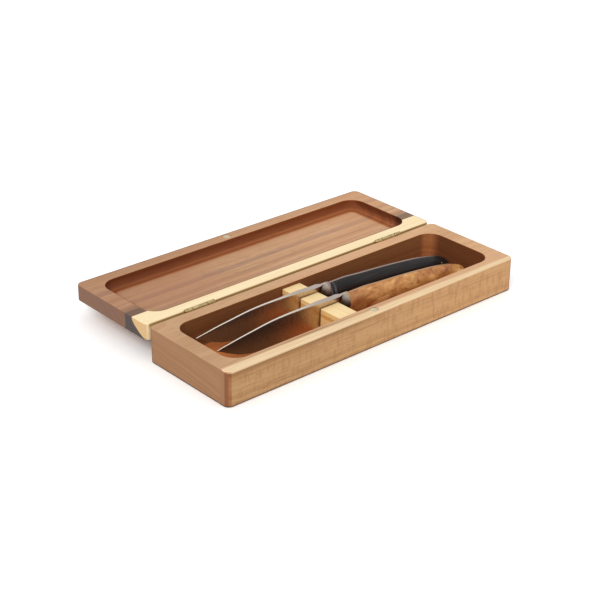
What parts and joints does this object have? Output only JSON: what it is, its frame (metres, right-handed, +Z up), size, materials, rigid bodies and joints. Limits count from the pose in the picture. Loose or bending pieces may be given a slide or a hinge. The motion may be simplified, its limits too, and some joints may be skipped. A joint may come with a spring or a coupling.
{
  "type": "knife display case",
  "caption": "Wooden presentation case lying open flat, with a routed tray and lid on brass butt hinges, a slotted rest and steak knives held on edge.",
  "frame": {"origin": "middle of the tray's flat bottom face", "axes": "+X along the case to the right, +Y to the back where the lid hinges, +Z up"},
  "size_m": [0.265, 0.1663, 0.0277],
  "materials": {
    "tray_wood": "tan walnut with a band of cream sapwood on the front rim, satin oil",
    "lid_wood": "brown walnut with a strip of cream sapwood along the hinge side, satin oil",
    "pale_wood": "pale yellow wood, sanded and lightly oiled",
    "brass": "plain drawn brass, slightly dulled",
    "steel": "fine brushed knife steel with polished spine",
    "magnet": "bright nickel plating",
    "black_handle": "polished black wood",
    "burl_handle": "polished orange-brown burl with dark figure"
  },
  "bodies": {
    "tray": {"tray": "tray_wood", "knife_rest": "pale_wood", "tray_magnet": "magnet", "left_hinge_tray_leaf": "brass", "left_hinge_pin": "brass", "left_hinge_tray_screw_outer": "brass", "left_hinge_tray_screw_inner": "brass", "right_hinge_tray_leaf": "brass", "right_hinge_pin": "brass", "right_hinge_tray_screw_outer": "brass", "right_hinge_tray_screw_inner": "brass"},
    "lid": {"lid": "lid_wood", "lid_magnet": "magnet", "left_hinge_lid_leaf": "brass", "left_hinge_lid_screw_outer": "brass", "left_hinge_lid_screw_inner": "brass", "right_hinge_lid_leaf": "brass", "right_hinge_lid_screw_outer": "brass", "right_hinge_lid_screw_inner": "brass"},
    "rear_knife": {"rear_knife_blade": "steel", "rear_knife_near_scale": "black_handle", "rear_knife_far_scale": "black_handle", "rear_knife_front_dowel": "steel", "rear_knife_middle_dowel": "steel", "rear_knife_butt_pin": "brass"},
    "front_knife": {"front_knife_blade": "steel", "front_knife_near_scale": "burl_handle", "front_knife_far_scale": "burl_handle", "front_knife_front_dowel": "steel", "front_knife_middle_dowel": "steel", "front_knife_butt_pin": "brass"}
  },
  "joints": [
    {"name": "lid_hinge", "type": "hinge", "parent": "tray", "child": "lid", "pos_m": [0, 0.04215, 0.02565], "axis": [1, 0, 0], "range_deg": [0, 180]},
    {"name": "rear_knife_lift", "type": "slide", "parent": "tray", "child": "rear_knife", "axis": [0, 0, 1], "range_m": [0, 0.06]},
    {"name": "front_knife_lift", "type": "slide", "parent": "tray", "child": "front_knife", "axis": [0, 0, 1], "range_m": [0, 0.06]}
  ]
}
